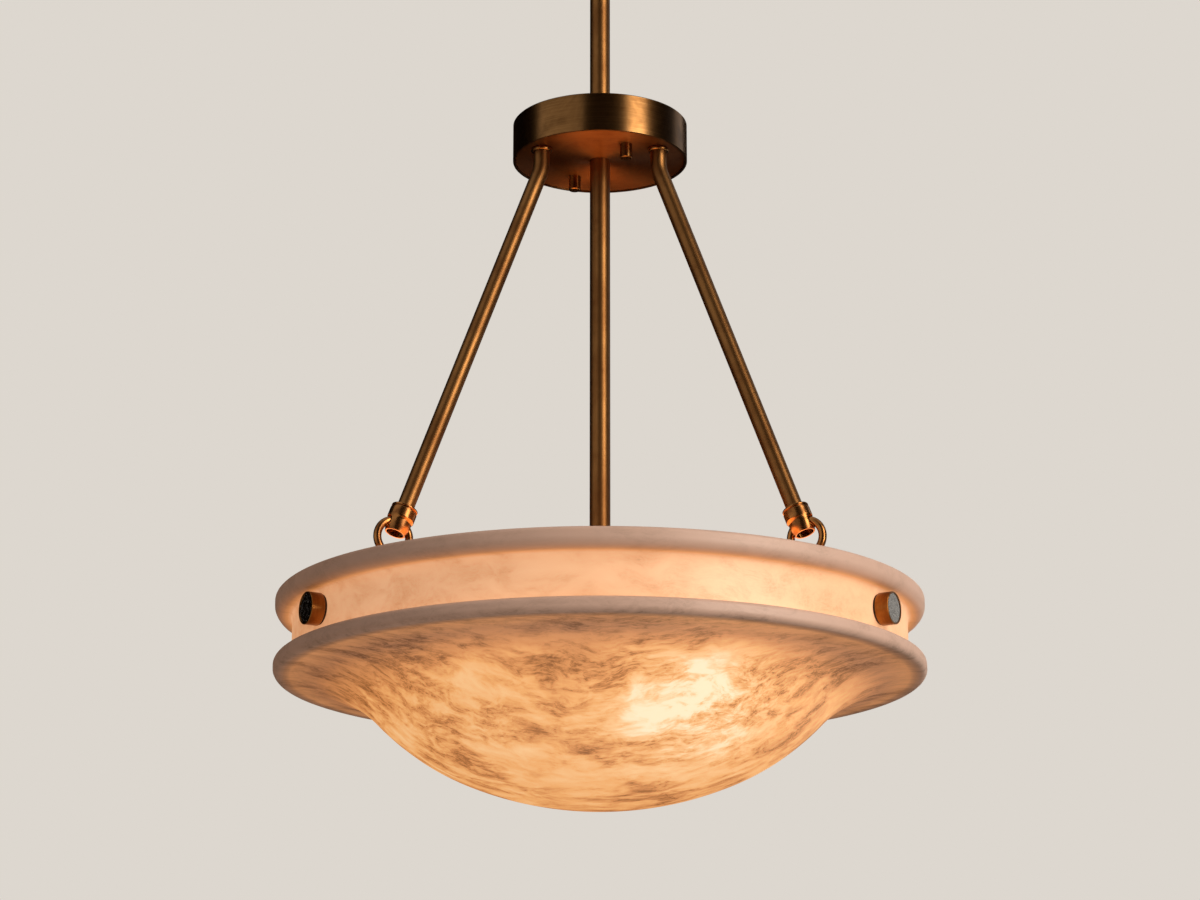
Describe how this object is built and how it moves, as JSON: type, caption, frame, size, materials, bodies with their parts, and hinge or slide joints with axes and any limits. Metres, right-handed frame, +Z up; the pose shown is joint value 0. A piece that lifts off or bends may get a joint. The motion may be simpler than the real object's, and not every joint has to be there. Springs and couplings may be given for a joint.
{
  "type": "alabaster bowl pendant",
  "caption": "Ceiling pendant: a carved alabaster bowl with two flanges, hung by link rings from three bent brass arms under a drum hub on a swivelling stem.",
  "frame": {"origin": "on the ceiling plane, at the middle of the canopy and of the two outlet box screws", "axes": "+Z up, +X to the right along the two outlet box screws, -Y towards the front between two arms"},
  "size_m": [0.508, 0.508, 0.7535],
  "materials": {
    "alabaster": "honed",
    "aged_brass": "brushed",
    "brass_hardware": "turned",
    "steel_hardware": "zinc plated",
    "polished_face": "polished",
    "gasket": "matte",
    "lampholder_black": "moulded",
    "lamp_shell": "rolled",
    "opal_glass": "frosted"
  },
  "bodies": {
    "ceiling_mount": {"box_strap": "steel_hardware", "stud_strap": "steel_hardware", "strap_eyelet": "steel_hardware", "ground_screw": "steel_hardware", "canopy": "aged_brass", "canopy_studs": "steel_hardware", "canopy_cap_nuts": "brass_hardware"},
    "swivel": {"swivel_washer": "aged_brass"},
    "frame": {"swivel_ball": "aged_brass", "upper_stem": "aged_brass", "stem_ring": "brass_hardware", "stem_nipple": "steel_hardware", "lock_nuts": "steel_hardware", "hub_shell": "aged_brass", "hub_bar": "steel_hardware", "hub_plate": "aged_brass", "hub_studs": "steel_hardware", "hub_cap_nuts": "brass_hardware", "arm_collars": "brass_hardware", "arm_nipples": "steel_hardware", "arm_nuts": "steel_hardware", "arm_left": "aged_brass", "arm_right": "aged_brass", "arm_rear": "aged_brass", "end_socket_left": "brass_hardware", "end_socket_right": "brass_hardware", "end_socket_rear": "brass_hardware", "lower_stem": "aged_brass", "cluster_body": "aged_brass", "cluster_nut": "steel_hardware", "cluster_cap": "aged_brass", "side_nipples": "steel_hardware", "lampholder_front": "lampholder_black", "lampholder_left": "lampholder_black", "lampholder_rear": "lampholder_black"},
    "bowl": {"bowl": "alabaster", "hanger_left": "aged_brass", "hanger_right": "aged_brass", "hanger_rear": "aged_brass", "knob_bolts": "steel_hardware", "outer_gaskets": "gasket", "inner_gaskets": "gasket", "flat_washers": "steel_hardware", "bolt_nuts": "steel_hardware"},
    "link_left": {"ring_left": "brass_hardware"},
    "knob_left": {"knob_left": "brass_hardware", "knob_face_left": "polished_face"},
    "link_right": {"ring_right": "brass_hardware"},
    "knob_right": {"knob_right": "brass_hardware", "knob_face_right": "polished_face"},
    "link_rear": {"ring_rear": "brass_hardware"},
    "knob_rear": {"knob_rear": "brass_hardware", "knob_face_rear": "polished_face"},
    "lamp_front": {"lamp_cap_front": "lamp_shell", "bulb_front": "opal_glass"},
    "lamp_left": {"lamp_cap_left": "lamp_shell", "bulb_left": "opal_glass"},
    "lamp_rear": {"lamp_cap_rear": "lamp_shell", "bulb_rear": "opal_glass"}
  },
  "joints": [
    {"name": "stem_turn", "type": "hinge", "parent": "ceiling_mount", "child": "swivel", "pos_m": [0, 0, -0.02234], "axis": [0, 0, 1], "range_deg": [-170, 170]},
    {"name": "stem_tilt", "type": "hinge", "parent": "swivel", "child": "frame", "pos_m": [0, 0, -0.02234], "axis": [1, 0, 0], "range_deg": [-18, 18]},
    {"name": "bowl_twist", "type": "hinge", "parent": "frame", "child": "bowl", "pos_m": [0, 0, -0.593], "axis": [0, 0, 1], "range_deg": [-1.2, 1.2]},
    {"name": "link_swing_left", "type": "hinge", "parent": "frame", "child": "link_left", "pos_m": [-0.15369, -0.08873, -0.55214], "axis": [-0.8063, -0.4655, 0.3649], "range_deg": [-10, 10]},
    {"name": "link_swing_right", "type": "hinge", "parent": "frame", "child": "link_right", "pos_m": [0.15369, -0.08873, -0.55214], "axis": [0.8063, -0.4655, 0.3649], "range_deg": [-10, 10]},
    {"name": "link_swing_rear", "type": "hinge", "parent": "frame", "child": "link_rear", "pos_m": [0, 0.17747, -0.55214], "axis": [0, 0.9311, 0.3649], "range_deg": [-10, 10]},
    {"name": "knob_turn_left", "type": "hinge", "parent": "bowl", "child": "knob_left", "pos_m": [-0.21304, -0.123, -0.624], "axis": [-0.866, -0.5, 0], "continuous": true},
    {"name": "knob_turn_right", "type": "hinge", "parent": "bowl", "child": "knob_right", "pos_m": [0.21304, -0.123, -0.624], "axis": [0.866, -0.5, 0], "continuous": true},
    {"name": "knob_turn_rear", "type": "hinge", "parent": "bowl", "child": "knob_rear", "pos_m": [0, 0.246, -0.624], "axis": [0, 1, 0], "continuous": true},
    {"name": "lamp_turn_front", "type": "hinge", "parent": "frame", "child": "lamp_front", "pos_m": [0.04243, -0.04243, -0.649], "axis": [0.7071, -0.7071, 0], "continuous": true},
    {"name": "lamp_turn_left", "type": "hinge", "parent": "frame", "child": "lamp_left", "pos_m": [-0.05796, -0.01553, -0.649], "axis": [-0.9659, -0.2588, 0], "continuous": true},
    {"name": "lamp_turn_rear", "type": "hinge", "parent": "frame", "child": "lamp_rear", "pos_m": [0.01553, 0.05796, -0.649], "axis": [0.2588, 0.9659, 0], "continuous": true}
  ],
  "couplings": [
    {"joint": "link_swing_left", "follows": "bowl_twist", "ratio": 8.058},
    {"joint": "link_swing_right", "follows": "bowl_twist", "ratio": 8.058},
    {"joint": "link_swing_rear", "follows": "bowl_twist", "ratio": 8.058}
  ]
}
